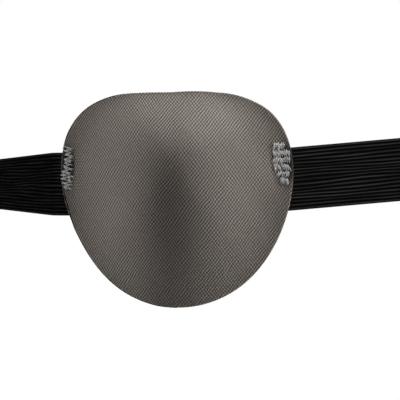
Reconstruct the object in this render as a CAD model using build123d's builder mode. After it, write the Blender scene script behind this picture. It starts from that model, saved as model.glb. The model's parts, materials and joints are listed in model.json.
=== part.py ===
"""Moulded satin eye patch on an adjustable elastic head strap, shown as it is worn.

The origin is the middle of the patch's rim, on the plane where the rim rests on the face.
+X points to the right of someone who faces the patch, +Y into the head, and +Z up. Millimetres.
"""

from build123d import *
from math import cos, radians, sin
import os

os.makedirs("parts", exist_ok=True)

# Patch
patch_top = 35.4
patch_bottom = -50.2
apex = (-2.0, 5.0)              # where the dome is deepest, as (x, z)
edge_height = 3.4               # height of the front surface at the rim
dome_height = 17.0              # height of the front surface at the apex
patch_depth = 4.5               # all layers together, measured along Y

cover_depth = 0.4
lining_depth = 0.4
wadding_depth = 0.8
light_block_depth = 0.3
seam_thread = 0.4

# Elastic
elastic_width = 25.0
elastic_thick = 1.0
tab_depth = 2.0                 # middle of the strap's ends, forward of the rim plane
tab_tip = 46.0                  # strap end that is sewn inside the patch reaches from here
tab_root = 39.5                 # to here, measured from the middle of the patch
strap_root = 46.3               # where the free strap starts
short_strap_level = -1.2        # strap's mid-height at the patch's left edge
long_strap_level = 0.9          # and at its right edge
strap_overlap = 2.0             # of the long strap before it is cut square at its start
strap_rise = 1.35               # degrees that both straps rise towards the back of the head
side_tilt = 5.0                 # degrees that the long strap rises towards the right

# Route of the strap round the head, in the plane of each strap
loop_depth = 117.0              # from the front straps to the strap at the back
front_run = 48.7                # straight stretch right of the patch
right_bend = 35.0
left_fold = 5.0                 # bend at the patch's left edge
left_fold_angle = 58.0
left_bend = 28.0

# Ring and slider, in their own plane: x along the strap at the back, y away from the head
ring_x = 22.3                   # the short strap's bar
ring_wire = 1.8
ring_span = 10.0                # between the middles of the two bars
ring_opening = 27.0
ring_corner = 2.0
layer_gap = 3.35                # between the middles of the strap's two layers
slider_x = 66.0                 # middle of the slider's centre bar
slider_height = 31.0
slider_length = 17.0
slider_bar = 3.0
slider_bar_thick = 1.2
slider_corner = 1.4
slider_play = 1.0               # between the slider's rails and the strap's edges, both together
bar_gap = 0.15                  # between a bar and the strap that runs past it
sewn_length = 8.0
ease_length = 6.0               # where a loop's two layers come together
turn_lead = 8.0                 # straight stretch on each side of the turn round the ring
thread = 0.6                    # width of a row of stitches
thread_proud = 0.3
thread_lift = 0.05              # between a row of stitches and the strap under it
row_inset = 1.5                 # from a sewn flap's ends to its rows, and from a row's ends to the edges

half_elastic = elastic_width / 2
ring_depth = layer_gap / 2


# ---------------------------------------------------------------- shared shapes

def outline(reach=1.0):
    """Points of the patch's outline, drawn in towards the apex as reach falls from 1 to 0."""
    right = [(21, 34.4), (37.2, 27.4), (45.2, 12.8), (45.6, -4.5), (40.0, -23), (25.3, -41.8)]
    left = [(-23.7, -41.8), (-38.4, -23), (-45.2, -4.5), (-45.2, 12.8), (-37.2, 27.4), (-21, 34.4)]
    points = [(0, patch_top)] + right + [(0.8, patch_bottom)] + left
    return [(apex[0] + reach * (x - apex[0]), apex[1] + reach * (z - apex[1])) for x, z in points]


def front_height(reach):
    """Height of the front surface: flat at the rim, steepest half way up, round on top."""
    return edge_height + (dome_height - edge_height) * (1 - reach**2) ** 2


def domed_block(depth):
    """Everything from the rim plane up to the front surface lowered by depth."""
    with BuildPart() as block:
        if depth < edge_height:
            with BuildSketch(Plane.XZ):
                with BuildLine():
                    Spline(*outline(), periodic=True)
                make_face()
            extrude(amount=edge_height - depth)
        for step in range(10, 0, -1):
            reach = step / 10
            with BuildSketch(Plane.XZ.offset(front_height(reach) - depth)):
                with BuildLine():
                    Spline(*outline(reach), periodic=True)
                make_face()
        loft()
        split(bisect_by=Plane.XZ, keep=Keep.TOP)
    return block.part


def layered_block(depth):
    """The dome between the rim plane and a layer that lies depth in front of the lining."""
    with BuildPart() as block:
        with BuildSketch(Plane.XZ):
            with BuildLine():
                Spline(*outline(), periodic=True)
            make_face()
        extrude(amount=depth)
        add(domed_block(patch_depth - depth))
    return block.part


def rim_block(inset, low, high):
    """A plain block of the patch's outline, drawn in by inset, between two heights."""
    with BuildPart() as block:
        with BuildSketch(Plane.XZ.offset(low)):
            with BuildLine():
                Spline(*outline(1 - inset / strap_root), periodic=True)
            make_face()
        extrude(amount=high - low)
    return block.part


def strap_plane(x, level, tilt):
    """Plane that holds a strap's route: level at x, rising to the back and, by tilt, to the right."""
    x_dir = Vector(cos(radians(tilt)), 0, sin(radians(tilt)))
    y_dir = Vector(0, cos(radians(strap_rise)), sin(radians(strap_rise)))
    return Plane(origin=(x, -tab_depth, level), x_dir=x_dir, z_dir=x_dir.cross(y_dir))


short_plane = strap_plane(-strap_root, short_strap_level, 0)
long_plane = strap_plane(strap_root, long_strap_level, side_tilt)
ring_along = (ring_x - strap_root) / cos(radians(side_tilt))
back_plane = Plane(
    origin=long_plane.from_local_coords((ring_along, loop_depth)),
    x_dir=long_plane.x_dir,
    z_dir=long_plane.z_dir,
)


# ---------------------------------------------------------------- patch layers

whole_patch = domed_block(0)
under_cover = domed_block(cover_depth)
inside_cover = rim_block(cover_depth, 0, dome_height)
wadding_front = lining_depth + wadding_depth
block_front = wadding_front + light_block_depth


def strap_tab(plane, inward):
    """The end of a strap that is sewn in between the layers, inward of where the strap is free."""
    upright = Plane(origin=plane.origin, x_dir=plane.x_dir, z_dir=plane.x_dir.cross(Vector(0, 1, 0)))
    with BuildPart() as tab:
        with BuildSketch(upright):
            with Locations((inward * (strap_root - tab_tip), 0)):
                Rectangle(2 * (tab_tip - tab_root), elastic_thick)
        extrude(amount=half_elastic, both=True)
        split(bisect_by=Plane.YZ.offset(-inward * tab_tip), keep=Keep.TOP if inward > 0 else Keep.BOTTOM)
    return tab.part


left_tab = strap_tab(short_plane, 1)
right_tab = strap_tab(long_plane, -1)

with BuildPart() as front_cover:
    add(whole_patch)
    add(under_cover & inside_cover, mode=Mode.SUBTRACT)
    add(rim_block(0, 0, lining_depth + seam_thread), mode=Mode.SUBTRACT)
    add([left_tab, right_tab], mode=Mode.SUBTRACT)
front_cover.part.label = "front_cover"

with BuildPart() as foam_cup:
    add(under_cover & inside_cover)
    add(layered_block(block_front), mode=Mode.SUBTRACT)
    add([left_tab, right_tab], mode=Mode.SUBTRACT)
foam_cup.part.label = "foam_cup"

with BuildPart() as light_block:
    add(layered_block(block_front) & inside_cover)
    add(layered_block(wadding_front), mode=Mode.SUBTRACT)
light_block.part.label = "light_block"

with BuildPart() as soft_wadding:
    add(layered_block(wadding_front) & inside_cover)
    add(layered_block(lining_depth), mode=Mode.SUBTRACT)
soft_wadding.part.label = "soft_wadding"

with BuildPart() as back_lining:
    add(layered_block(lining_depth))
    add(domed_block(patch_depth), mode=Mode.SUBTRACT)
back_lining.part.label = "back_lining"

with BuildPart() as rim_seam:
    add(rim_block(0, lining_depth, lining_depth + seam_thread))
    add(rim_block(cover_depth, lining_depth, lining_depth + seam_thread), mode=Mode.SUBTRACT)
rim_seam.part.label = "rim_seam"

with BuildPart() as left_strap_tab:
    add(left_tab)
left_strap_tab.part.label = "left_strap_tab"

with BuildPart() as right_strap_tab:
    add(right_tab)
right_strap_tab.part.label = "right_strap_tab"


# ---------------------------------------------------------------- bar tacks on the cover

tack_height = 17.0
tack_proud = 0.35
left_tack_middle = (-42.6, 5.2)
left_tack_width = 5.2
right_tack_middle = (41.4, 6.4)
right_tack_width = 6.4
raised_patch = domed_block(-tack_proud)


def bar_tack(middle, width):
    """Zigzag stitching that holds a strap's end, a thin pad on the cover."""
    with BuildPart() as tack:
        with BuildSketch(Plane.XZ):
            with Locations(middle):
                RectangleRounded(width, tack_height, width / 3)
        extrude(amount=dome_height)
        add(raised_patch, mode=Mode.INTERSECT)
        add(whole_patch, mode=Mode.SUBTRACT)
    return tack.part


with BuildPart() as left_tack:
    add(bar_tack(left_tack_middle, left_tack_width))
left_tack.part.label = "left_tack"

with BuildPart() as right_tack:
    add(bar_tack(right_tack_middle, right_tack_width))
right_tack.part.label = "right_tack"


# ---------------------------------------------------------------- straps

def ribbon(route, plane):
    """A strap of the elastic's width and thickness along a route drawn in its plane."""
    edges = route.line.edges()
    with BuildPart() as strap:
        with BuildSketch(plane):
            for edge in edges:
                trace(edge, line_width=elastic_thick)
            for edge in edges[1:]:
                with Locations(edge @ 0):
                    Circle(elastic_thick / 2)
        extrude(amount=half_elastic, both=True)
    return strap.part


loop_length = sewn_length + ease_length
layer_overlap = 0.05            # by which two sewn layers are pressed into one
fold_x = left_fold * sin(radians(left_fold_angle))
fold_y = left_fold * (1 - cos(radians(left_fold_angle)))
short_end = short_plane.to_local_coords(back_plane.from_local_coords((-ease_length, 0, 0)))
bend_rise = left_bend * (1 + cos(radians(left_fold_angle)))
left_run = (short_end.Y - fold_y - bend_rise) / sin(radians(left_fold_angle))

with BuildLine() as short_route:
    fold = JernArc((0, 0), (-1, 0), left_fold, -left_fold_angle)
    run = Line(fold @ 1, (fold @ 1) + left_run * (fold % 1))
    bend = JernArc(run @ 1, run % 1, left_bend, left_fold_angle - 180)
    Line(bend @ 1, (short_end.X, short_end.Y))

flap_y = layer_overlap - elastic_thick
with BuildLine() as ring_loop_route:
    over = Line((-loop_length, 0), (0, 0))
    turn = JernArc(over @ 1, over % 1, ring_depth, -180)
    slope = Line(turn @ 1, (-ease_length, flap_y))
    Line(slope @ 1, (-loop_length, flap_y))

with BuildPart() as short_strap:
    add(ribbon(short_route, short_plane))
    add(ribbon(ring_loop_route, back_plane))
short_strap.part.label = "short_strap"

lead_x = ring_span + turn_lead
lead_along = ring_along + lead_x
with BuildLine() as long_route:
    front = Line((-strap_overlap, 0), (front_run, 0))
    corner = JernArc(front @ 1, front % 1, right_bend, 90)
    side = Line(corner @ 1, (corner @ 1) + (loop_depth - 2 * right_bend) * (corner % 1))
    corner = JernArc(side @ 1, side % 1, right_bend, 90)
    Line(corner @ 1, (lead_along, loop_depth))

with BuildPart() as long_strap:
    add(ribbon(long_route, long_plane))
    with Locations((strap_root, -tab_depth, 0)):
        patch_side = (Align.MAX, Align.CENTER, Align.CENTER)
        Box(elastic_width, 4 * elastic_thick, 2 * elastic_width, align=patch_side, mode=Mode.SUBTRACT)
long_strap.part.label = "long_strap"

with BuildLine() as turn_route:
    over = Line((lead_x, 0), (ring_span, 0))
    turn = JernArc(over @ 1, over % 1, ring_depth, 180)
    Line(turn @ 1, (lead_x, -layer_gap))

with BuildPart() as strap_turn:
    add(ribbon(turn_route, back_plane))
strap_turn.part.label = "strap_turn"

return_end = slider_x - ring_x - loop_length
with BuildLine() as return_route:
    Line((lead_x, -layer_gap), (return_end, -layer_gap))

with BuildPart() as strap_return:
    add(ribbon(return_route, back_plane))
strap_return.part.label = "strap_return"


# ---------------------------------------------------------------- slider and the loop sewn round its bar

bar_x = slider_x - ring_x
bar_top = -elastic_thick / 2 - bar_gap - elastic_thick
bar_middle = bar_top - slider_bar_thick / 2
wrap_radius = (slider_bar_thick + elastic_thick) / 2
wrap_x = bar_x + (slider_bar - slider_bar_thick) / 2
flap_top = -layer_gap + elastic_thick - layer_overlap

with BuildLine() as end_loop_route:
    under = Line((return_end, -layer_gap), (wrap_x, bar_middle - wrap_radius))
    turn = JernArc(under @ 1, (1, 0), wrap_radius, 180)
    over = Line(turn @ 1, (bar_x - slider_bar / 2, bar_middle + wrap_radius))
    slope = Line(over @ 1, (bar_x - ease_length, flap_top))
    Line(slope @ 1, (return_end, flap_top))

with BuildPart() as strap_end_loop:
    add(ribbon(end_loop_route, back_plane))
strap_end_loop.part.label = "strap_end_loop"

rail_middle = (slider_height + elastic_width + slider_play) / 4
rail_height = (slider_height - elastic_width - slider_play) / 2
outer_low = elastic_thick / 2 + bar_gap
outer_high = outer_low + slider_bar_thick
bar_low = bar_top - slider_bar_thick

with BuildPart() as slider:
    for side_sign in (-1, 1):
        with BuildSketch(back_plane.offset(side_sign * rail_middle)):
            with Locations((bar_x, (outer_high + bar_low) / 2)):
                RectangleRounded(slider_length, outer_high - bar_low, slider_corner)
        extrude(amount=rail_height / 2, both=True)
    with BuildSketch(back_plane):
        with Locations((bar_x, bar_middle)):
            SlotOverall(slider_bar, slider_bar_thick)
        outer_x = (slider_length - slider_bar) / 2
        with Locations(*[(bar_x + s * outer_x, (outer_low + outer_high) / 2) for s in (-1, 1)]):
            SlotOverall(slider_bar, slider_bar_thick)
    extrude(amount=rail_middle, both=True)
slider.part.label = "slider"


# ---------------------------------------------------------------- ring

ring_plane = Plane(
    origin=back_plane.from_local_coords((ring_span / 2, -ring_depth)),
    x_dir=back_plane.x_dir,
    z_dir=-back_plane.y_dir,
)
ring_half = (ring_opening + ring_wire) / 2

with BuildPart() as ring:
    with BuildLine(ring_plane) as ring_path:
        corners = [(s * ring_span / 2, t * ring_half) for s, t in ((-1, -1), (1, -1), (1, 1), (-1, 1))]
        FilletPolyline(*corners, radius=ring_corner, close=True)
    with BuildSketch(ring_path.line ^ 0):
        Circle(ring_wire / 2)
    sweep()
ring.part.label = "ring"


# ---------------------------------------------------------------- stitches through the sewn loops

def stitch_rows(first_x, second_x, top_y, bottom_y):
    """Two rows of stitches across a sewn flap, on its outer and its inner face."""
    with BuildPart() as rows:
        with BuildSketch(back_plane):
            for x in (first_x, second_x):
                lift = thread_lift + thread_proud / 2
                with Locations((x, top_y + lift), (x, bottom_y - lift)):
                    Rectangle(thread, thread_proud)
        extrude(amount=half_elastic - row_inset, both=True)
    return rows.part


first_row = row_inset - loop_length
second_row = -ease_length - row_inset
with BuildPart() as ring_loop_stitches:
    add(stitch_rows(first_row, second_row, elastic_thick / 2, flap_y - elastic_thick / 2))
ring_loop_stitches.part.label = "ring_loop_stitches"

slider_flap_top = flap_top + elastic_thick / 2
slider_flap_bottom = -layer_gap - elastic_thick / 2
with BuildPart() as slider_loop_stitches:
    add(stitch_rows(bar_x + first_row, bar_x + second_row, slider_flap_top, slider_flap_bottom))
slider_loop_stitches.part.label = "slider_loop_stitches"


# ---------------------------------------------------------------- files

for part in (
    front_cover,
    foam_cup,
    light_block,
    soft_wadding,
    back_lining,
    rim_seam,
    left_strap_tab,
    right_strap_tab,
    left_tack,
    right_tack,
    short_strap,
    long_strap,
    strap_turn,
    strap_return,
    strap_end_loop,
    slider,
    ring,
    ring_loop_stitches,
    slider_loop_stitches,
):
    export_step(part.part, f"parts/{part.part.label}.step")
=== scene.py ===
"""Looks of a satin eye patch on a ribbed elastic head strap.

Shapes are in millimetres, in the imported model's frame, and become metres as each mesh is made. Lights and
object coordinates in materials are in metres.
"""

import json
import math
import random

import bpy
import numpy as np
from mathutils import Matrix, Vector


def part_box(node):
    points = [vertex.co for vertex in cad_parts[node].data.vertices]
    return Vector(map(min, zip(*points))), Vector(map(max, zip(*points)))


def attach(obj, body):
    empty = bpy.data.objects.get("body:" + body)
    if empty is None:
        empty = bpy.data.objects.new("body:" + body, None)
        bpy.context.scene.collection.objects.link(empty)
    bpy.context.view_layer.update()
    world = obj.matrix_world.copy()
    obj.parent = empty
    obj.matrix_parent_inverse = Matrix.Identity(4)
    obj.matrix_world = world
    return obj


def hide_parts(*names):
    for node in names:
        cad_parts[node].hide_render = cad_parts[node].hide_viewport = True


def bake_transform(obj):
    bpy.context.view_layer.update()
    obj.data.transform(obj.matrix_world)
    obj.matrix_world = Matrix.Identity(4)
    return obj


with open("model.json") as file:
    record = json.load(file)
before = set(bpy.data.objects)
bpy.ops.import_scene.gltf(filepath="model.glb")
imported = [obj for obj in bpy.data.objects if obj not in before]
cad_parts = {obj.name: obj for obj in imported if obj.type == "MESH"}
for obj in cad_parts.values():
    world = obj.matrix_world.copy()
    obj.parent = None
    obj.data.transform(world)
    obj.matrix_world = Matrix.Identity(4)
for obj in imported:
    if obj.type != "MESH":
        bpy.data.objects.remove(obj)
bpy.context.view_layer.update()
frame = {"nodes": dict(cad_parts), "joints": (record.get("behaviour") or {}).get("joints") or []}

MM = 0.001
joints = {joint["name"]: joint for joint in frame["joints"]}


# ---------------------------------------------------------------- measures

# The patch: a dome over a flat rim. Angles go clockwise from straight up, round the apex (x, z), as
# seen from the front. Heights and depths are measured forwards from the back of the rim.
APEX = np.array([-2.0, 5.0])
EDGE_HEIGHT = 3.4
DOME_HEIGHT = 17.0
PATCH_DEPTH = 4.5
TACK_DIMPLE = 0.7
DIMPLE_REACH = 9.0
UNEVENNESS = 0.06

# Points round each ring of the patch, and rings in the satin's face and in the other surfaces
AROUND = 320
FACE_RINGS = 84
LINED_RINGS = 40
LAYER_RINGS = 60

# The patch's layers
COVER = 0.4
LINING = 0.4
WADDING = 0.8
LIGHT_BLOCK = 0.3
LAYER_INSET = 0.7
EDGE_ROUND = 0.6
EDGE_SLANT = 0.1

# Seam thread: its height, its stitches round the rim and its radius in the groove, and the radius of the
# dark thread in front that is painted shade on the left edge
SEAM_HEIGHT = 0.72
SEAM_STITCHES = 132
SEAM_RADIUS = 0.3
SHADE_THREAD_RADIUS = 0.24

# Bar tacks: middle x and z, and width. Each starts a distance above its middle and goes down in rows.
TACKS = {"left": (-42.6, 5.2, 5.2), "right": (41.2, 6.4, 6.8)}
RIGHT_TACK_TOP = 8.6
RIGHT_BAND = 2.75
LEFT_TACK_TOP = 8.0
LEFT_TACK_LENGTH = 16.0
LEFT_TACK_ROWS = 21
RIGHT_TACK_THREAD = 0.15
LEFT_TACK_THREAD = 0.12
KNOT_THREAD = 0.11

# The elastic. The tabs run inside the patch from their root to their tip, in x.
WIDTH = 25.0
THICK = 1.0
RIBS = 18
RIB_HEIGHT = 0.32
TAB_DEPTH = 2.0
TAB_ROOT = 39.5
TAB_TIP = 42.0

# The planes of the straps' routes: where they start, beside the patch, and how they tilt
STRAP_ROOT = 46.3
STRAP_RISE = math.radians(1.35)
SIDE_TILT = math.radians(5.0)
SHORT_LEVEL = -1.2
LONG_LEVEL = 0.9

# Route of the strap round the head
LOOP_DEPTH = 117.0
FRONT_RUN = 48.7
RIGHT_BEND = 35.0
LEFT_FOLD = 5.0
LEFT_FOLD_ANGLE = 58.0
LEFT_BEND = 28.0

# Ring, slider and the loops sewn round them
RING_SPAN = 10.0
LAYER_GAP = 3.35
TURN_LEAD = 8.0
SEWN = 8.0
EASE = 6.0
BAR_THICK = 1.2
BAR_WIDTH = 3.0
BAR_GAP = 0.15

# Lockstitches through the loops
STITCH_LENGTH = 2.1
STITCH_SPACE = 0.5
STITCH_RADIUS = 0.2
ROW_INSET = 1.5

# Distance between the satin's diagonals, in metres, and how they close up towards the left
WEAVE_PITCH = 0.00102
WEAVE_SQUEEZE = 0.0042

# Painted shade: a darker band down the middle of the satin, added to the dark band that the side lights
# give there. Its middle x, its half width, the z above which it leans to the left, the lean, the z values
# between which it comes in, and how dark it is. In metres.
BAND_MIDDLE = -0.0025
BAND_WIDTH = 0.0115
BAND_BEND = 0.008
BAND_LEAN = 0.35
BAND_TOP = 0.03
BAND_FULL = -0.01
BAND_DEPTH = 0.42

# The painted shade of the small folds beside the left tack, in metres
PUCKER_MIDDLE = (-0.0395, 0.0, 0.004)
PUCKER_PITCH = 0.0012

# Stage and camera
FLOOR_LEVEL = -320
FLOOR_RADIUS = 600
FLOOR_SIDES = 96
VIEW_WIDTH = 158.8
VIEW_DISTANCE = 260.0
VIEW_MIDDLE = (9.1, -7.5)


# ---------------------------------------------------------------- mesh helpers

class Mesh:
    """Points, faces and UVs, in millimetres, gathered from several shapes into one piece."""

    def __init__(self):
        self.points = []
        self.faces = []
        self.uvs = []

    def grid(self, points, uv=None, close_u=False, close_v=False):
        """A sheet of quads over points[u][v], joined round in either direction if asked."""
        points = np.asarray(points, float)
        rows, columns = points.shape[:2]
        base = len(self.points)
        self.points.extend(points.reshape(-1, 3).tolist())
        if uv is None:
            uv = np.stack(np.meshgrid(np.arange(rows), np.arange(columns), indexing="ij"), -1)
        uv = np.asarray(uv, float)
        for i in range(rows if close_u else rows - 1):
            for j in range(columns if close_v else columns - 1):
                corners = [(i, j), (i + 1, j), (i + 1, j + 1), (i, j + 1)]
                self.faces.append([base + (a % rows) * columns + b % columns for a, b in corners])
                self.uvs.append([tuple(uv[a % rows, b % columns]) for a, b in corners])
        return base

    def fan(self, ring, centre, flip=False):
        """Triangles from a ring of point numbers to a new point."""
        base = len(self.points)
        self.points.append(list(centre))
        for i, a in enumerate(ring):
            b = ring[(i + 1) % len(ring)]
            face = [b, a, base] if flip else [a, b, base]
            self.faces.append(face)
            self.uvs.append([(0, 0)] * 3)

    def tube(self, path, radius, sides=7):
        """A round thread or wire along path, closed at both ends. radius may vary along it."""
        path = np.asarray(path, float)
        radius = np.broadcast_to(radius, len(path))
        tangent = unit_rows(np.gradient(path, axis=0))
        uv = np.stack(np.meshgrid(lengths(path), np.arange(sides) / sides, indexing="ij"), -1)
        base = self.grid(circles(path, tangent, radius, sides), uv, close_v=True)
        last = base + (len(path) - 1) * sides
        self.fan(list(range(base, base + sides)), path[0] - tangent[0] * radius[0] * 0.4)
        self.fan(list(range(last, last + sides)), path[-1] + tangent[-1] * radius[-1] * 0.4, flip=True)

    def ring_tube(self, path, radius, sides=8):
        """A closed tube along a closed path."""
        path = np.asarray(path, float)
        radius = np.broadcast_to(radius, len(path))
        tangent = unit_rows(np.roll(path, -1, axis=0) - np.roll(path, 1, axis=0))
        self.grid(circles(path, tangent, radius, sides), close_u=True, close_v=True)

    def piece(self, name, material, body, slot, replaces):
        """The finished Blender object, in metres. It rides on its body, unless it is to be blended."""
        data = bpy.data.meshes.new(name)
        data.from_pydata([[c * MM for c in p] for p in self.points], [], self.faces)
        layer = data.uv_layers.new(name="UVMap")
        flat = [value for face in self.uvs for corner in face for value in corner]
        layer.data.foreach_set("uv", flat)
        data.polygons.foreach_set("use_smooth", [True] * len(data.polygons))
        data.materials.append(material)
        data.validate()
        piece = bpy.data.objects.new(name, data)
        bpy.context.scene.collection.objects.link(piece)
        if body:
            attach(piece, body)
        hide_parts(*replaces)
        return piece


def unit_rows(vectors):
    """Each row scaled to length 1."""
    return vectors / np.linalg.norm(vectors, axis=1)[:, None]


def lengths(path):
    """Distance along a path to each of its points."""
    return np.concatenate([[0], np.cumsum(np.linalg.norm(np.diff(path, axis=0), axis=1))])


def steady_side(tangent):
    """The axis that a path runs along the least."""
    axis = np.zeros(3)
    axis[int(np.argmin(np.abs(tangent).mean(axis=0)))] = 1.0
    return axis


def circles(path, tangent, radius, sides):
    """A circle of points round each point of a path."""
    side = unit_rows(np.cross(tangent, steady_side(tangent)))
    up = np.cross(side, tangent)
    turns = np.linspace(0, 2 * np.pi, sides, endpoint=False)
    spokes = np.cos(turns)[None, :, None] * side[:, None] + np.sin(turns)[None, :, None] * up[:, None]
    return path[:, None] + radius[:, None, None] * spokes


# ---------------------------------------------------------------- material helpers

def new_material(name, **settings):
    """A Principled material, with its plain numbers set straight on the shader."""
    material = bpy.data.materials.new(name)
    material.use_nodes = True
    shader = material.node_tree.nodes["Principled BSDF"]
    for key, value in settings.items():
        shader.inputs[key].default_value = value
    return material, material.node_tree, shader


def add(tree, kind, inputs=None, **attributes):
    """One node. An input is a plain value, or the socket of another node."""
    node = tree.nodes.new(kind)
    for key, value in attributes.items():
        setattr(node, key, value)
    for key, value in (inputs or {}).items():
        if isinstance(value, bpy.types.NodeSocket):
            tree.links.new(value, node.inputs[key])
        else:
            node.inputs[key].default_value = value
    return node


def maths(tree, operation, *values):
    """The result of a Math node over plain numbers or sockets."""
    inputs = {i: value for i, value in enumerate(values)}
    return add(tree, "ShaderNodeMath", inputs, operation=operation).outputs[0]


def product(tree, *factors):
    """Plain numbers or sockets multiplied, in turn."""
    result = factors[0]
    for factor in factors[1:]:
        result = maths(tree, "MULTIPLY", result, factor)
    return result


def vector_maths(tree, operation, first, second):
    """The result of a vector node that adds, subtracts or multiplies."""
    return add(tree, "ShaderNodeVectorMath", {0: first, 1: second}, operation=operation).outputs["Vector"]


def hump(tree, distance):
    """1 where distance is 0, falling smoothly to 0 away from it."""
    return maths(tree, "EXPONENT", product(tree, product(tree, distance, distance), -1.0))


def smooth_step(tree, value, start, end, low, high):
    """From low to high as value goes from start to end."""
    inputs = {"Value": value, "From Min": start, "From Max": end, "To Min": low, "To Max": high}
    return add(tree, "ShaderNodeMapRange", inputs, interpolation_type="SMOOTHSTEP").outputs["Result"]


def wave(tree, vector, direction, period, phase=0.0):
    """A sine from 0 to 1 along a direction, repeating every period."""
    inputs = {0: vector, 1: Vector(direction).normalized() * (2 * math.pi / period)}
    along = add(tree, "ShaderNodeVectorMath", inputs, operation="DOT_PRODUCT").outputs["Value"]
    swing = maths(tree, "SINE", maths(tree, "ADD", along, phase))
    return maths(tree, "MULTIPLY_ADD", swing, 0.5, 0.5)


def noise(tree, vector, scale, detail=2.0, roughness=0.5):
    """Noise from 0 to 1, scale in bumps per unit of the coordinates."""
    inputs = {"Vector": vector, "Scale": scale, "Detail": detail, "Roughness": roughness}
    return add(tree, "ShaderNodeTexNoise", inputs).outputs["Fac"]


def ramp(tree, factor, stops):
    """A colour ramp over (position, (r, g, b)) stops."""
    node = add(tree, "ShaderNodeValToRGB", {"Fac": factor})
    elements = node.color_ramp.elements
    while len(elements) < len(stops):
        elements.new(0.5)
    for element, (position, colour) in zip(elements, stops):
        element.position = position
        element.color = (*colour, 1.0)
    return node.outputs["Color"]


def scaled(tree, vector, factor):
    """A vector or colour times one number or socket."""
    inputs = {0: vector, "Scale": factor}
    return add(tree, "ShaderNodeVectorMath", inputs, operation="SCALE").outputs["Vector"]


def bump(tree, shader, height, distance, strength=1.0):
    """Surface relief from a height, distance in metres."""
    node = add(tree, "ShaderNodeBump", {"Height": height, "Distance": distance, "Strength": strength})
    tree.links.new(node.outputs["Normal"], shader.inputs["Normal"])


def object_coordinates(tree):
    return add(tree, "ShaderNodeTexCoord").outputs["Object"]


def uv_coordinates(tree):
    return add(tree, "ShaderNodeTexCoord").outputs["UV"]


# ---------------------------------------------------------------- materials

def painted_shade_band(tree, place):
    """1 over most of the satin, less in a soft band of painted shade that runs down from the crown."""
    x, _, z = add(tree, "ShaderNodeSeparateXYZ", {0: place}).outputs
    lean = product(tree, maths(tree, "MAXIMUM", maths(tree, "SUBTRACT", z, BAND_BEND), 0.0), BAND_LEAN)
    from_middle = maths(tree, "ADD", maths(tree, "SUBTRACT", x, BAND_MIDDLE), lean)
    falloff = hump(tree, maths(tree, "DIVIDE", from_middle, BAND_WIDTH))
    depth = smooth_step(tree, z, BAND_TOP, BAND_FULL, 0.0, BAND_DEPTH)
    return maths(tree, "SUBTRACT", 1.0, product(tree, falloff, depth))


def painted_edge_shade(tree, place):
    """1 over the face of the satin, much less down its rolled edge, which is painted in shade."""
    y = add(tree, "ShaderNodeSeparateXYZ", {0: place}).outputs["Y"]
    start = (0.05 - EDGE_HEIGHT) * MM
    return smooth_step(tree, y, start, start + 0.0004, 1.0, 0.15)


def painted_pucker_shade(tree, place):
    """Painted shade for short level folds that the left tack pulls in the satin beside it: darker level
    stripes in the colour.
    """
    offset = vector_maths(tree, "SUBTRACT", place, PUCKER_MIDDLE)
    near = vector_maths(tree, "MULTIPLY", offset, (350.0, 0.0, 100.0))
    distance = add(tree, "ShaderNodeVectorMath", {0: near}, operation="LENGTH").outputs["Value"]
    folds = product(tree, wave(tree, place, (0, 0, 1), PUCKER_PITCH), hump(tree, distance))
    return maths(tree, "MULTIPLY_ADD", folds, -0.45, 1.0)


def satin_material():
    """Fine satin twill: floats in a diamond lattice whose rising diagonals are the stronger."""
    settings = {"Roughness": 0.62, "Sheen Weight": 0.05, "Sheen Roughness": 0.45, "Specular IOR Level": 0.3}
    material, tree, shader = new_material("satin", **settings)
    place = object_coordinates(tree)
    inputs = {"Vector": place, "Scale": 150.0, "Detail": 2.0}
    drift = add(tree, "ShaderNodeTexNoise", inputs).outputs["Color"]
    cloth = vector_maths(tree, "ADD", scaled(tree, uv_coordinates(tree), MM), scaled(tree, drift, 0.0014))
    rising = wave(tree, cloth, (0.78, -0.6, 0), WEAVE_PITCH)
    falling = wave(tree, cloth, (0.78, 0.6, 0), WEAVE_PITCH)
    share = maths(tree, "MULTIPLY_ADD", noise(tree, place, 60.0, 1.0), 0.6, 0.12)
    weave = add(tree, "ShaderNodeMix", {"Factor": share, "A": rising, "B": falling}).outputs["Result"]
    fuzz = noise(tree, place, 1900.0, 3.0, 0.7)
    weave = maths(tree, "ADD", product(tree, weave, 0.68), product(tree, fuzz, 0.5))
    stops = [(0.25, (0.05, 0.043, 0.036)), (0.55, (0.165, 0.143, 0.123)), (0.9, (0.44, 0.388, 0.343))]
    colour = ramp(tree, weave, stops)
    blotch = maths(tree, "MULTIPLY_ADD", noise(tree, place, 28.0, 2.0), 0.3, 0.85)
    # The weave's colour is scaled by random blotches and by painted shade: the band down the middle, the
    # rolled edge and the folds beside the left tack.
    shade = product(tree, blotch, painted_shade_band(tree, place), painted_edge_shade(tree, place), painted_pucker_shade(tree, place))
    tree.links.new(scaled(tree, colour, shade), shader.inputs["Base Color"])
    bump(tree, shader, weave, 0.00012, 0.7)
    return material


def lining_material():
    """Brushed knit lining, a little darker than the satin."""
    settings = {"Roughness": 0.85, "Sheen Weight": 0.3, "Sheen Roughness": 0.6}
    material, tree, shader = new_material("lining", **settings)
    place = object_coordinates(tree)
    knit = product(tree, wave(tree, place, (1, 0, 0), 0.0008), wave(tree, place, (0, 0, 1), 0.0011))
    nap = noise(tree, place, 1800.0, 4.0, 0.7)
    height = maths(tree, "ADD", product(tree, knit, 0.6), product(tree, nap, 0.5))
    colour = ramp(tree, height, [(0.15, (0.07, 0.064, 0.06)), (0.8, (0.21, 0.195, 0.185))])
    tree.links.new(colour, shader.inputs["Base Color"])
    bump(tree, shader, height, 0.00015, 0.8)
    return material


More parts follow.
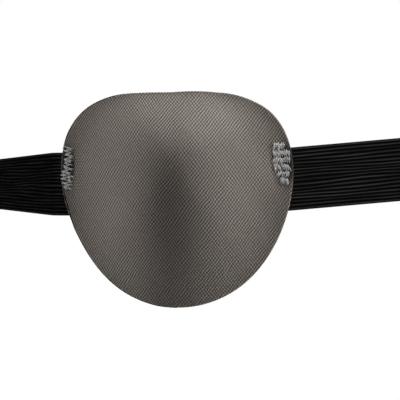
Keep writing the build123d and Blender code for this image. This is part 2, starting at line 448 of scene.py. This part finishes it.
def foam_material():
    """Open moulded foam, off-white with small cells."""
    material, tree, shader = new_material("foam", **{"Roughness": 0.95, "Subsurface Weight": 0.1})
    place = object_coordinates(tree)
    cells = add(tree, "ShaderNodeTexVoronoi", {"Vector": place, "Scale": 1600.0}).outputs["Distance"]
    colour = ramp(tree, cells, [(0.1, (0.30, 0.29, 0.27)), (0.6, (0.62, 0.60, 0.56))])
    tree.links.new(colour, shader.inputs["Base Color"])
    bump(tree, shader, cells, 0.0002, 0.9)
    return material


def film_material():
    """Dull black film with faint creases."""
    material, tree, shader = new_material("blackout_film", **{"Specular IOR Level": 0.3})
    place = object_coordinates(tree)
    crease = noise(tree, place, 240.0, 4.0, 0.6)
    colour = ramp(tree, crease, [(0.3, (0.008, 0.008, 0.009)), (0.7, (0.02, 0.02, 0.021))])
    tree.links.new(colour, shader.inputs["Base Color"])
    rough = maths(tree, "MULTIPLY_ADD", crease, 0.3, 0.5)
    tree.links.new(rough, shader.inputs["Roughness"])
    bump(tree, shader, crease, 0.0002, 0.4)
    return material


def wadding_material():
    """Soft white felt with loose fibres."""
    material, tree, shader = new_material("wadding", **{"Roughness": 1.0, "Sheen Weight": 0.4})
    place = object_coordinates(tree)
    fibres = noise(tree, place, 900.0, 6.0, 0.75)
    colour = ramp(tree, fibres, [(0.3, (0.55, 0.54, 0.51)), (0.7, (0.82, 0.81, 0.78))])
    tree.links.new(colour, shader.inputs["Base Color"])
    bump(tree, shader, fibres, 0.0003, 0.8)
    return material


def elastic_material():
    """Black elastic: the cords lie lengthwise in the mesh, and this paints a highlight on their crests and
    shade between them, and adds the knit.
    """
    material, tree, shader = new_material("elastic", **{"Roughness": 0.85, "Specular IOR Level": 0.12})
    place = uv_coordinates(tree)
    courses = wave(tree, place, (1, 0.35, 0), 0.62)
    chevrons = wave(tree, place, (1, -0.35, 0), 0.62)
    knit = maths(tree, "MAXIMUM", courses, chevrons)
    fuzz = noise(tree, place, 5.0, 3.0, 0.7)
    height = maths(tree, "ADD", product(tree, knit, 0.6), product(tree, fuzz, 0.4))
    # Painted highlight along the crest of each cord and painted shade in the grooves between them, scaled
    # by noise along the strap and by the knit
    cords = wave(tree, place, (0, 1, 0), WIDTH / RIBS, -math.pi / 2)
    strength = noise(tree, vector_maths(tree, "MULTIPLY", place, (0.03, 0.6, 1.0)), 1.0, 2.0)
    knit_brightness = maths(tree, "MULTIPLY_ADD", height, 0.8, 0.6)
    lit = product(tree, maths(tree, "POWER", cords, 1.8), strength, knit_brightness)
    stops = [(0.1, (0.0008, 0.0008, 0.0008)), (0.35, (0.018, 0.0175, 0.017)), (0.65, (0.085, 0.082, 0.079))]
    tree.links.new(ramp(tree, lit, stops), shader.inputs["Base Color"])
    bump(tree, shader, height, 0.00008, 0.6)
    return material


def thread_material(name, dark, bright, roughness, gloss):
    """Twisted sewing thread: plies wind round it. gloss sets both its shine and its sheen."""
    settings = {"Roughness": roughness, "Sheen Weight": 0.4 * gloss, "Specular IOR Level": gloss}
    material, tree, shader = new_material(name, **settings)
    place = uv_coordinates(tree)
    plies = wave(tree, place, (1, 0.5, 0), 0.35)
    fuzz = noise(tree, place, 8.0, 3.0, 0.7)
    height = maths(tree, "ADD", product(tree, plies, 0.75), product(tree, fuzz, 0.3))
    tree.links.new(ramp(tree, height, [(0.15, dark), (0.85, bright)]), shader.inputs["Base Color"])
    bump(tree, shader, height, 0.00006, 0.8)
    return material


def plastic_material():
    """Black moulded plastic with a fine spark-eroded grain."""
    material, tree, shader = new_material("plastic", **{"Specular IOR Level": 0.5, "Coat Weight": 0.1})
    place = object_coordinates(tree)
    grain = noise(tree, place, 2200.0, 3.0, 0.6)
    wear = noise(tree, place, 120.0, 3.0, 0.6)
    colour = ramp(tree, wear, [(0.3, (0.006, 0.006, 0.0065)), (0.75, (0.016, 0.016, 0.017))])
    tree.links.new(colour, shader.inputs["Base Color"])
    rough = maths(tree, "MULTIPLY_ADD", wear, 0.2, 0.28)
    tree.links.new(rough, shader.inputs["Roughness"])
    bump(tree, shader, grain, 0.00004, 0.5)
    return material


SATIN = satin_material()
LINING_CLOTH = lining_material()
FOAM = foam_material()
FILM = film_material()
FELT = wadding_material()
ELASTIC = elastic_material()
TACK_THREAD = thread_material("tack_thread", (0.6, 0.59, 0.58), (0.95, 0.945, 0.94), 0.35, 0.5)
SEAM_THREAD = thread_material("seam_thread", (0.003, 0.003, 0.003), (0.012, 0.011, 0.01), 0.9, 0.0)
STRAP_THREAD = thread_material("strap_thread", (0.006, 0.006, 0.006), (0.03, 0.03, 0.03), 0.6, 0.3)
PLASTIC = plastic_material()


# ---------------------------------------------------------------- the patch's shape

def read_rim():
    """Angles round the apex and the outline's distance at each, from the lining's flat face."""
    points = np.array([v.co[:] for v in frame["nodes"]["back_lining"].data.vertices]) / MM
    flat = points[points[:, 1] > -0.01][:, [0, 2]] - APEX
    angle = np.arctan2(flat[:, 0], flat[:, 1])
    reach = np.hypot(flat[:, 0], flat[:, 1])
    apart = np.abs((angle[:, None] - angle[None] + np.pi) % (2 * np.pi) - np.pi)
    nearby, nearly = 0.12, 0.96
    farthest = np.where(apart < nearby, reach[None], 0).max(axis=1)
    outer = reach > nearly * farthest
    order = np.argsort(angle[outer])
    return angle[outer][order], reach[outer][order]


rim_angle, rim_reach = read_rim()
angles = np.linspace(0, 2 * np.pi, AROUND, endpoint=False)
outward = np.stack([np.sin(angles), np.cos(angles)], -1)
outline = np.interp((angles + np.pi) % (2 * np.pi) - np.pi, rim_angle, rim_reach, period=2 * np.pi)


def front_height(reach, power=2.0):
    """Height of the front surface. A high power gives a narrow dome and a flat rim."""
    return EDGE_HEIGHT + (DOME_HEIGHT - EDGE_HEIGHT) * np.maximum(1 - reach**2, 0) ** power


def bell(distance, width):
    """1 where distance is 0, falling smoothly to 0 over about twice the width."""
    return np.exp(-((distance / width) ** 2))


def away(angle, degrees):
    """How far each angle is from a direction, in degrees."""
    return np.abs((np.degrees(angle) - degrees + 180) % 360 - 180)


def surface_height(x, z):
    """Height of the satin: fuller above and below the apex, dimpled at the tacks, a little uneven."""
    dx, dz = x - APEX[0], z - APEX[1]
    angle = np.arctan2(dx, dz)
    reach = np.hypot(dx, dz) / np.interp(angle, rim_angle, rim_reach, period=2 * np.pi)
    power = 1.35 + 1.15 * np.abs(np.sin(angle)) ** 3
    height = front_height(reach, power)
    for middle_x, middle_z, width in TACKS.values():
        dimple = bell((x - middle_x) / width, 0.9) * bell((z - middle_z) / DIMPLE_REACH, 0.9)
        height = height - TACK_DIMPLE * dimple
    uneven = np.sin(x * 0.21 + 1.3) * np.sin(z * 0.17 + 0.4) + 0.6 * np.sin(x * 0.43 + z * 0.31)
    return height + UNEVENNESS * uneven


def ring_at(radius, height):
    """Points round the apex at a distance for each angle, in millimetres, and a height."""
    plan = APEX + outward * np.asarray(radius)[:, None]
    return np.stack([plan[:, 0], -np.broadcast_to(height, AROUND), plan[:, 1]], -1)


def dome_rings(rim, lower, count=LAYER_RINGS):
    """Rings from near the apex to the rim over the front surface lowered by a depth."""
    rings = []
    for reach in np.linspace(0, 1, count + 1)[1:]:
        radius = rim * reach
        plan = APEX + outward * radius[:, None]
        rings.append(ring_at(radius, surface_height(plan[:, 0], plan[:, 1]) - lower))
    return rings


def back_rings(rim, depth):
    """Rings over the back of the hollow, or over a layer that lies depth in front of it."""
    rings = []
    for reach in np.linspace(0, 1, LAYER_RINGS + 1)[1:]:
        radius = rim * reach
        over = front_height(radius / outline) - PATCH_DEPTH
        rings.append(ring_at(radius, soft_floor(over) + depth))
    return rings


def soft_floor(height, ease=0.35):
    """height, but never below nothing, with the corner eased."""
    return 0.5 * (height + np.sqrt(height**2 + ease**2)) - 0.5 * ease * bell(height, 4.0)


def closed_shell(rings):
    """A closed skin over rings that start round the apex on one side and end round it on the other.

    Its UVs are x and z in millimetres, stretched towards the left so that the weave is finer there.
    """
    shell = Mesh()
    uv = np.array(rings)[:, :, [0, 2]]
    uv[:, :, 0] -= WEAVE_SQUEEZE * np.minimum(uv[:, :, 0], 0) ** 2
    base = shell.grid(np.array(rings), uv, close_v=True)
    last = base + (len(rings) - 1) * AROUND
    shell.fan(list(range(base, base + AROUND)), rings[0].mean(axis=0))
    shell.fan(list(range(last, last + AROUND)), rings[-1].mean(axis=0), flip=True)
    return shell


def make_cover():
    """Satin over the dome, rolled round the rim and turned in under it."""
    rings = dome_rings(outline - EDGE_SLANT - EDGE_ROUND, 0.0, FACE_RINGS)
    edge = rings[-1][:, 1]
    for turn in np.radians(np.arange(10, 91, 10)):
        drop = EDGE_ROUND * (1 - math.cos(turn))
        rings.append(ring_at(outline - EDGE_SLANT - EDGE_ROUND * (1 - math.sin(turn)), -edge - drop))
    # How far past the outline, and height
    turned_in = ((0.05, 1.3), (-0.05, 0.85), (-0.35, 0.62), (-1.2, 0.62), (-1.2, 0.9), (-COVER, 1.1))
    rings.extend(ring_at(outline + out, height) for out, height in turned_in)
    rings.extend(reversed(dome_rings(outline - COVER - EDGE_ROUND, COVER, LINED_RINGS)))
    return closed_shell(rings).piece("satin_cover", SATIN, "patch", "satin", ["front_cover"])


def make_layer(name, material, slot, node, front_depth, back_depth):
    """A layer between two depths in front of the hollow, closed at the rim."""
    rings = back_rings(outline - LAYER_INSET, front_depth)
    rings.extend(reversed(back_rings(outline - LAYER_INSET, back_depth)))
    return closed_shell(rings).piece(name, material, "patch", slot, [node])


def make_foam():
    """The moulded cup between the satin and the light block."""
    inset = COVER + 0.15
    rings = dome_rings(outline - inset - 1.0, COVER + 0.05)
    rings.append(ring_at(outline - inset, EDGE_HEIGHT - 1.3))
    rings.extend(reversed(back_rings(outline - inset, LINING + WADDING + LIGHT_BLOCK)))
    return closed_shell(rings).piece("foam", FOAM, "patch", "foam", ["foam_cup"])


def make_lining():
    """Knit lining: its uneven cut edge shows a little past the satin at the right and the lower left."""
    proud = 0.2 * bell(away(angles, -125), 30) + 0.4 * bell(away(angles, 104), 10) - 0.1
    proud = proud + 0.04 * np.sin(angles * 23) + 0.03 * np.sin(angles * 41 + 1)
    rings = back_rings(outline - 0.2, LINING)
    for out, height in ((0.6, 0.5), (0.95, 0.42), (1.0, 0.25), (0.95, 0.08)):
        rings.append(ring_at(outline + proud * out, height))
    rings.extend(reversed(back_rings(outline - 0.2, 0.0)))
    return closed_shell(rings).piece("knit_lining", LINING_CLOTH, "patch", "lining", ["back_lining"])


def shade_edge_thread(seam, degrees, out, height):
    """A dark thread along part of the rim, thin at its ends, as painted shade on the edge. out and height
    are given at each angle.
    """
    fine = np.arange(degrees[0], degrees[-1], 0.4)
    radius = np.interp(np.radians(fine), angles - 2 * np.pi, outline) + np.interp(fine, degrees, out)
    plan = APEX + np.stack([np.sin(np.radians(fine)), np.cos(np.radians(fine))], -1) * radius[:, None]
    path = np.stack([plan[:, 0], -np.interp(fine, degrees, height), plan[:, 1]], -1)
    ease = np.clip(np.minimum(fine - fine[0], fine[-1] - fine) / 8, 0.3, 1)
    seam.tube(path, SHADE_THREAD_RADIUS * ease * (1 - 0.2 * np.cos(fine * 3.1) ** 8))


def make_rim_seam():
    """Dark overlocked thread in the groove at the rim. The dark thread in front, down the left, is painted
    shade where that edge is in shadow.
    """
    proud = 0.25 * bell(away(angles, -128), 45) - 0.1
    fine = np.linspace(0, 2 * np.pi, SEAM_STITCHES * 8, endpoint=False)
    radius = np.interp(fine, angles, outline + proud, period=2 * np.pi)
    plan = APEX + np.stack([np.sin(fine), np.cos(fine)], -1) * radius[:, None]
    path = np.stack([plan[:, 0], np.full(len(fine), -SEAM_HEIGHT), plan[:, 1]], -1)
    thick = SEAM_RADIUS - 0.1 * np.cos(fine * SEAM_STITCHES) ** 8
    seam = Mesh()
    seam.ring_tube(path, thick)
    # Dark thread in front down the lower left and the upper left: painted shade on the edge
    shade_edge_thread(seam, (-182, -122, -113, -97), (-0.08, -0.08, -0.6, -0.65), (3.1, 3.1, 3.5, 3.55))
    shade_edge_thread(seam, (-80, -32), (-0.08, -0.08), (3.1, 3.1))
    return seam.piece("rim_stitching_and_shade_line", SEAM_THREAD, "patch", "seam_thread", ["rim_seam"])


# ---------------------------------------------------------------- bar tacks

def on_satin(x, z, proud):
    """A point over the satin."""
    return np.array([x, -(float(surface_height(np.array(x), np.array(z))) + proud), z])


def stroke(mesh, start, end, thickness, crown):
    """One float of thread: it comes up through the satin, bows over it, and goes down again."""
    path = []
    sunk = 0.25
    for t in np.linspace(0, 1, 9):
        x, z = (1 - t) * np.array(start) + t * np.array(end)
        path.append(on_satin(x, z, -sunk + (crown + sunk) * math.sin(math.pi * t) ** 0.5))
    mesh.tube(path, thickness * (0.75 + 0.25 * np.sin(np.linspace(0, np.pi, 9))))


def make_right_tack():
    """Dense bands of steep stitches that lean to and fro. Each band gives its left and right ends."""
    rng = random.Random(5)
    tack = Mesh()
    middle_x, middle_z, width = TACKS["right"]
    bands = ((0.0, 0.62), (0.0, 1.0), (0.03, 1.0), (0.06, 1.0), (0.28, 0.96), (0.45, 0.9))
    top = middle_z + RIGHT_TACK_TOP
    for row, (left, right) in enumerate(bands):
        lean = 0.6 if row % 2 else -0.6
        count = int((right - left) * width / 0.3)
        for i in range(count):
            x = middle_x - width / 2 + width * (left + (right - left) * (i + 0.5) / count)
            z = top - row * RIGHT_BAND + rng.uniform(-0.35, 0.5)
            tip = lean * rng.uniform(0.1, 1.2)
            start = (x - tip + rng.uniform(-0.2, 0.2), z)
            end = (x + tip + rng.uniform(-0.2, 0.2), z - RIGHT_BAND * rng.uniform(0.75, 1.05))
            stroke(tack, start, end, RIGHT_TACK_THREAD, 0.35 + rng.uniform(0, 0.3))
    return tack.piece("right_bar_tack", TACK_THREAD, "patch", "tack_thread", ["right_tack"])


def make_left_tack():
    """A looser zigzag of nearly level stitches, with short knots on each and gaps between them."""
    rng = random.Random(11)
    tack = Mesh()
    middle_x, middle_z, width = TACKS["left"]
    top = middle_z + LEFT_TACK_TOP
    for row in range(LEFT_TACK_ROWS):
        share = row / (LEFT_TACK_ROWS - 1)
        z = top - LEFT_TACK_LENGTH * share + rng.uniform(-0.12, 0.12)
        left = middle_x - width * (0.38 + 0.28 * bell(share - 0.72, 0.22))
        right = middle_x + width * (0.24 + 0.12 * math.sin(row * 1.9))
        tilt = 0.55 if row % 2 else -0.45
        stroke(tack, (left, z - tilt), (right, z + tilt), LEFT_TACK_THREAD, 0.38)
        for _ in range(2):
            knot = left + (right - left) * rng.uniform(0.2, 0.9)
            reach = rng.uniform(0.4, 1.0)
            start = (knot - reach, z + rng.uniform(0.1, 0.6))
            stroke(tack, start, (knot + reach, z - 0.5), KNOT_THREAD, 0.45)
    return tack.piece("left_bar_tack", TACK_THREAD, "patch", "tack_thread", ["left_tack"])


# ---------------------------------------------------------------- strap routes

def unit(vector):
    """The vector scaled to length 1."""
    vector = np.asarray(vector, float)
    return vector / np.linalg.norm(vector)


def strap_plane(x, level, tilt):
    """Origin and the directions along, outward and across of the plane that holds a strap's route."""
    along = np.array([math.cos(tilt), 0, math.sin(tilt)])
    back = np.array([0, math.cos(STRAP_RISE), math.sin(STRAP_RISE)])
    across = unit(np.cross(along, back))
    return np.array([x, -TAB_DEPTH, level]), along, np.cross(across, along), across


SHORT_PLANE = strap_plane(-STRAP_ROOT, SHORT_LEVEL, 0.0)
LONG_PLANE = strap_plane(STRAP_ROOT, LONG_LEVEL, SIDE_TILT)
ring_across = unit(joints["ring_tilt"]["axis"])
ring_along = unit(joints["slider_slide"]["axis"])
ring_outward = np.cross(ring_across, ring_along)
ring_bar = np.array(joints["ring_tilt"]["pos_m"]) / MM
BACK_PLANE = (ring_bar + ring_outward * LAYER_GAP / 2, ring_along, ring_outward, ring_across)


def into_plane(point, plane):
    """A place in space as (along, outward) in a strap's plane."""
    origin, along, outward_dir, _ = plane
    offset = np.asarray(point) - origin
    return np.array([offset @ along, offset @ outward_dir])


def out_of_plane(point, plane):
    """(along, outward) in a strap's plane as a place in space."""
    origin, along, outward_dir, _ = plane
    return origin + point[0] * along + point[1] * outward_dir


def route(start, heading, steps, spacing=0.8):
    """Points along straight runs and tangent bends. A step is a length, or (radius, degrees)."""
    points = [np.array(start, float)]
    direction = math.radians(heading)
    for step in steps:
        if isinstance(step, tuple):
            radius, turn = step[0], math.radians(step[1])
            count = max(4, int(abs(radius * turn) / spacing))
            side = np.array([-math.sin(direction), math.cos(direction)]) * math.copysign(radius, turn)
            centre = points[-1] + side
            x, y = -side
            for i in range(1, count + 1):
                cos, sin = math.cos(turn * i / count), math.sin(turn * i / count)
                points.append(centre + np.array([cos * x - sin * y, sin * x + cos * y]))
            direction += turn
        else:
            count = max(1, int(step / spacing))
            move = np.array([math.cos(direction), math.sin(direction)]) * step
            begin = points[-1]
            points.extend(begin + move * i / count for i in range(1, count + 1))
    return np.array(points)


def corners(points, spacing=0.5):
    """Points along straight runs between corners."""
    result = [np.array(points[0], float)]
    for a, b in zip(points, points[1:]):
        a, b = np.array(a, float), np.array(b, float)
        count = max(1, int(np.linalg.norm(b - a) / spacing))
        result.extend(a + (b - a) * i / count for i in range(1, count + 1))
    return np.array(result)


def even(points, spacing):
    """The same line with evenly spaced points."""
    along = lengths(points)
    count = max(2, int(round(along[-1] / spacing)) + 1)
    at = np.linspace(0, along[-1], count)
    return np.stack([np.interp(at, along, points[:, i]) for i in range(points.shape[1])], -1)


def soften(points, passes):
    """Bends eased as stiff cloth takes them, with both ends and their directions kept."""
    points = points.copy()
    for _ in range(passes):
        points[2:-2] = 0.25 * points[1:-3] + 0.5 * points[2:-2] + 0.25 * points[3:-1]
    return points


# ---------------------------------------------------------------- elastic

def rib_profile(per_rib=6):
    """Places across the strap and half its thickness at each, with a round cord for each rib."""
    count = RIBS * per_rib
    place = np.linspace(-0.5, 0.5, count + 1)
    cord = np.abs(np.sin(np.pi * place * RIBS)) ** 0.6
    half = THICK / 2 - RIB_HEIGHT + RIB_HEIGHT * cord
    half[0] = half[-1] = 0.12
    return place * WIDTH, half


def make_ribbon(line, across):
    """A ribbed strap along a line in space, its cords swaying a little across it.

    across is the direction of its width, one for all or one at each point.
    """
    mesh = Mesh()
    across = np.broadcast_to(across, line.shape)
    tangent = unit_rows(np.gradient(line, axis=0))
    face = unit_rows(np.cross(across, tangent))
    place, half = rib_profile()
    along = lengths(line)
    sway = 0.4 * np.sin(along[:, None] / 16.0 + place[None] * 0.5)
    sway = sway + 0.12 * np.sin(along[:, None] / 5.0 - place[None] * 0.9)
    sway = sway * np.cos(np.pi * place[None] / WIDTH)
    middle = line[:, None] + across[:, None] * (place[None] + sway)[:, :, None]
    front = middle + face[:, None] * half[None, :, None]
    back = middle - face[:, None] * half[None, :, None]
    section = np.concatenate([front, back[:, ::-1]], axis=1)
    width_uv = np.concatenate([place, WIDTH * 2 - place[::-1]])
    uv = np.stack(np.meshgrid(along, width_uv, indexing="ij"), -1)
    base = mesh.grid(section, uv, close_v=True)
    size = section.shape[1]
    for first, flip in ((base, True), (base + (len(line) - 1) * size, False)):
        for i in range(size // 2 - 1):
            a, b = first + i, first + i + 1
            c, d = first + size - 2 - i, first + size - 1 - i
            mesh.faces.append([a, b, c, d] if flip else [d, c, b, a])
            mesh.uvs.append([(0, 0)] * 4)
    return mesh


def ribbon_piece(name, points, plane, body, replaces, spacing=0.8, passes=0):
    """A strap drawn in one plane, as its own piece."""
    flat = soften(even(points, spacing), passes)
    line = np.array([out_of_plane(p, plane) for p in flat])
    return make_ribbon(line, plane[3]).piece(name, ELASTIC, body, "elastic", replaces)


def short_strap_line():
    """The short strap's middle line and width direction, from the patch to the end of its sewn run."""
    end = into_plane(out_of_plane((0, 0), BACK_PLANE), SHORT_PLANE)
    fold = math.radians(LEFT_FOLD_ANGLE)
    rise = LEFT_FOLD * (1 - math.cos(fold)) + LEFT_BEND * (1 + math.cos(fold))
    run = (end[1] - rise) / math.sin(fold)
    steps = [(LEFT_FOLD, -LEFT_FOLD_ANGLE), run, (LEFT_BEND, LEFT_FOLD_ANGLE - 180)]
    flat = route((STRAP_ROOT - TAB_TIP, 0), 180, [STRAP_ROOT - TAB_TIP] + steps)
    flat = np.vstack([flat, corners([flat[-1], end])[1:]])
    flat = soften(even(flat, 0.8), 6)
    line = np.array([out_of_plane(p, SHORT_PLANE) for p in flat])
    # Over this part of its length the strap leans over, from its own plane to the one at the back
    lean_start, lean_length = 0.55, 0.4
    share = np.clip((np.arange(len(line)) / len(line) - lean_start) / lean_length, 0, 1)
    share = (share * share * (3 - 2 * share))[:, None]
    return line, unit_rows(SHORT_PLANE[3] * (1 - share) + BACK_PLANE[3] * share)


def make_short_strap():
    """Short elastic: round the side of the head to the ring, through it, and sewn back on itself."""
    line, across = short_strap_line()
    turn = route((0, 0), 0, [(LAYER_GAP / 2, -180)], 0.35)
    back = corners([turn[-1], (-EASE, -THICK), (-EASE - SEWN, -THICK)])
    loop = soften(even(np.vstack([turn, back[1:]]), 0.4), 3)
    loop = np.array([out_of_plane(p, BACK_PLANE) for p in loop])
    line = np.vstack([line, loop[1:]])
    across = np.vstack([across, np.repeat(across[-1:], len(loop) - 1, axis=0)])
    piece = make_ribbon(line, across).piece("short_elastic", ELASTIC, None, "elastic", ["short_strap"])
    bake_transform(piece)
    return piece


def make_long_strap():
    """Long elastic, from the patch round the other side of the head to just before the ring."""
    ring_place = into_plane(out_of_plane((RING_SPAN + TURN_LEAD, 0), BACK_PLANE), LONG_PLANE)
    side = LOOP_DEPTH - 2 * RIGHT_BEND
    steps = [FRONT_RUN + STRAP_ROOT - TAB_TIP, (RIGHT_BEND, 90), side, (RIGHT_BEND, 90)]
    flat = route((TAB_TIP - STRAP_ROOT, 0), 0, steps)
    flat = np.vstack([flat, corners([flat[-1], (ring_place[0], LOOP_DEPTH)])[1:]])
    flat = soften(even(flat, 0.8), 40)
    line = np.array([out_of_plane(p, LONG_PLANE) for p in flat])
    strap = make_ribbon(line, LONG_PLANE[3])
    piece = strap.piece("long_elastic", ELASTIC, None, "elastic", ["long_strap"])
    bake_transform(piece)
    return piece


def make_turn():
    """The long elastic's turn round the ring, which swings with it."""
    lead = RING_SPAN + TURN_LEAD
    turn = route((lead, 0), 180, [TURN_LEAD, (LAYER_GAP / 2, 180), TURN_LEAD], 0.4)
    piece = ribbon_piece("elastic_turn", turn, BACK_PLANE, None, ["strap_turn"], 0.5)
    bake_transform(piece)
    return piece


slider_middle = np.sum(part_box("slider"), axis=0) / 2 / MM
bar_x = into_plane(slider_middle, BACK_PLANE)[0]
return_end = bar_x - SEWN - EASE


def make_return():
    """The long elastic's inner layer, which gets longer as the slider moves away from the ring."""
    lead = RING_SPAN + TURN_LEAD
    line = corners([(lead, -LAYER_GAP), (return_end, -LAYER_GAP)])
    piece = ribbon_piece("elastic_return", line, BACK_PLANE, None, ["strap_return"])
    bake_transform(piece)
    return piece


def make_end_loop():
    """The long elastic's end: under the slider's centre bar, round it, and sewn down."""
    wrap = (BAR_THICK + THICK) / 2
    bar_middle = -THICK / 2 - BAR_GAP - THICK - BAR_THICK / 2
    wrap_x = bar_x + (BAR_WIDTH - BAR_THICK) / 2
    flap = -LAYER_GAP + THICK
    under = corners([(return_end, -LAYER_GAP), (wrap_x, bar_middle - wrap)])
    turn = route(under[-1], 0, [(wrap, 180)], 0.3)
    over_bar = (bar_x - BAR_WIDTH / 2, bar_middle + wrap)
    back = corners([turn[-1], over_bar, (bar_x - EASE, flap), (return_end, flap)])
    line = np.vstack([under, turn[1:], back[1:]])
    return ribbon_piece("elastic_end_loop", line, BACK_PLANE, "slider", ["strap_end_loop"], 0.35, 3)


def make_tab(name, plane, inward, node):
    """The strap's end inside the patch, up to where the free strap starts."""
    ends = np.array([[inward * (STRAP_ROOT - TAB_ROOT), 0], [inward * (STRAP_ROOT - TAB_TIP), 0]])
    return ribbon_piece(name, ends, plane, "patch", [node])


# ---------------------------------------------------------------- stitches through the sewn loops

def stitch_rows(name, body, node, rows, faces):
    """Rows of lockstitches across a sewn flap, on its outer and inner face."""
    mesh = Mesh()
    pitch = STITCH_LENGTH + STITCH_SPACE
    count = int((WIDTH - 3) / pitch)
    first = -(count * pitch - STITCH_SPACE) / 2
    for x in rows:
        for y, side in zip(faces, (1, -1)):
            for i in range(count):
                path = []
                for t in np.linspace(0, 1, 7):
                    w = first + i * pitch + t * STITCH_LENGTH
                    lift = side * (-STITCH_RADIUS + 0.35 * math.sin(math.pi * t) ** 0.5)
                    path.append(out_of_plane((x, y + lift), BACK_PLANE) + w * BACK_PLANE[3])
                mesh.tube(path, STITCH_RADIUS)
    return mesh.piece(name, STRAP_THREAD, body, "strap_thread", [node])


# ---------------------------------------------------------------- make everything

cover = make_cover()
foam = make_foam()
block_back = LINING + WADDING
block_front = block_back + LIGHT_BLOCK
film = make_layer("light_block_film", FILM, "blackout_film", "light_block", block_front, block_back)
felt = make_layer("felt_wadding", FELT, "wadding", "soft_wadding", block_back, LINING)
lining = make_lining()
make_rim_seam()
right_tack = make_right_tack()
left_tack = make_left_tack()

left_tab = make_tab("left_elastic_tab", SHORT_PLANE, 1, "left_strap_tab")
right_tab = make_tab("right_elastic_tab", LONG_PLANE, -1, "right_strap_tab")
short_elastic = make_short_strap()
long_elastic = make_long_strap()
turn_elastic = make_turn()
return_elastic = make_return()
end_elastic = make_end_loop()

ring_rows = (-SEWN - EASE + ROW_INSET, -EASE - ROW_INSET)
ring_faces = (THICK / 2, -THICK * 1.5)
stitch_rows("ring_loop_stitching", "strap", "ring_loop_stitches", ring_rows, ring_faces)
slider_rows = (return_end + ROW_INSET, bar_x - EASE - ROW_INSET)
slider_faces = (-LAYER_GAP + THICK * 1.5, -LAYER_GAP - THICK / 2)
stitch_rows("slider_loop_stitching", "slider", "slider_loop_stitches", slider_rows, slider_faces)

for node in ("slider", "ring"):
    for material_slot in frame["nodes"][node].material_slots:
        material_slot.material = PLASTIC


# ---------------------------------------------------------------- stage, light and camera

def make_floor():
    """A pale disc well below the patch."""
    turns = np.linspace(0, 2 * np.pi, FLOOR_SIDES, endpoint=False)
    ring = [[FLOOR_RADIUS * math.cos(a), FLOOR_RADIUS * math.sin(a), FLOOR_LEVEL] for a in turns]
    data = bpy.data.meshes.new("floor")
    data.from_pydata([[c * MM for c in p] for p in ring], [], [list(range(FLOOR_SIDES))])
    material, _, _ = new_material("floor", **{"Base Color": (0.85, 0.85, 0.85, 1), "Roughness": 0.9})
    data.materials.append(material)
    floor = bpy.data.objects.new("floor", data)
    bpy.context.scene.collection.objects.link(floor)


def make_light(name, place, size, power):
    """A soft box at a place in metres, turned to the middle of the rim."""
    data = bpy.data.lights.new(name, "AREA")
    data.shape = "RECTANGLE"
    data.size, data.size_y = size
    data.energy = power
    light = bpy.data.objects.new(name, data)
    light.location = place
    light.rotation_euler = (-Vector(place)).to_track_quat("-Z", "Y").to_euler()
    light.visible_camera = False
    bpy.context.scene.collection.objects.link(light)
    return light


def make_world():
    """White where the camera sees it, and a dim fill light for everything else."""
    world = bpy.data.worlds.new("studio")
    bpy.context.scene.world = world
    world.use_nodes = True
    tree = world.node_tree
    background = tree.nodes["Background"]
    background.inputs["Color"].default_value = (1, 1, 1, 1)
    fill = 0.03
    seen = add(tree, "ShaderNodeLightPath").outputs["Is Camera Ray"]
    strength = maths(tree, "MULTIPLY_ADD", seen, 1 - fill, fill)
    tree.links.new(strength, background.inputs["Strength"])


def make_camera():
    """Square to the patch, a little right of and below the middle of its rim."""
    data = bpy.data.cameras.new("camera")
    data.sensor_width = 36.0
    data.lens = data.sensor_width * VIEW_DISTANCE / VIEW_WIDTH
    data.clip_start = 0.01
    camera = bpy.data.objects.new("camera", data)
    camera.location = (VIEW_MIDDLE[0] * MM, -(VIEW_DISTANCE + TAB_DEPTH) * MM, VIEW_MIDDLE[1] * MM)
    camera.rotation_euler = (math.radians(90), 0, 0)
    bpy.context.scene.collection.objects.link(camera)
    bpy.context.scene.camera = camera


def light_only(light, pieces):
    """Keeps a light off everything but these pieces."""
    lit = bpy.data.collections.new(light.name + "_reach")
    for piece in pieces:
        lit.objects.link(piece)
    light.light_linking.receiver_collection = lit


make_floor()

# The left strap is almost black, so the two lights from the left reach only the satin and its stitches
left_box = make_light("left_box", (-0.8, -0.06, 0.02), (0.1, 0.8), 4.1)
make_light("right_box", (0.8, -0.045, 0.1), (0.1, 0.8), 4.3)
make_light("top_box", (0.4, -0.045, 0.75), (0.8, 0.1), 9.0)
corner_box = make_light("corner_box", (-0.5, -0.09, 0.65), (0.3, 0.3), 1.5)
make_light("back_box", (0.1, 1.0, 0.5), (0.8, 0.8), 6.0)
for side_light in (left_box, corner_box):
    light_only(side_light, [cover, right_tack, left_tack])
make_world()
make_camera()
bpy.context.scene.view_settings.view_transform = "Standard"
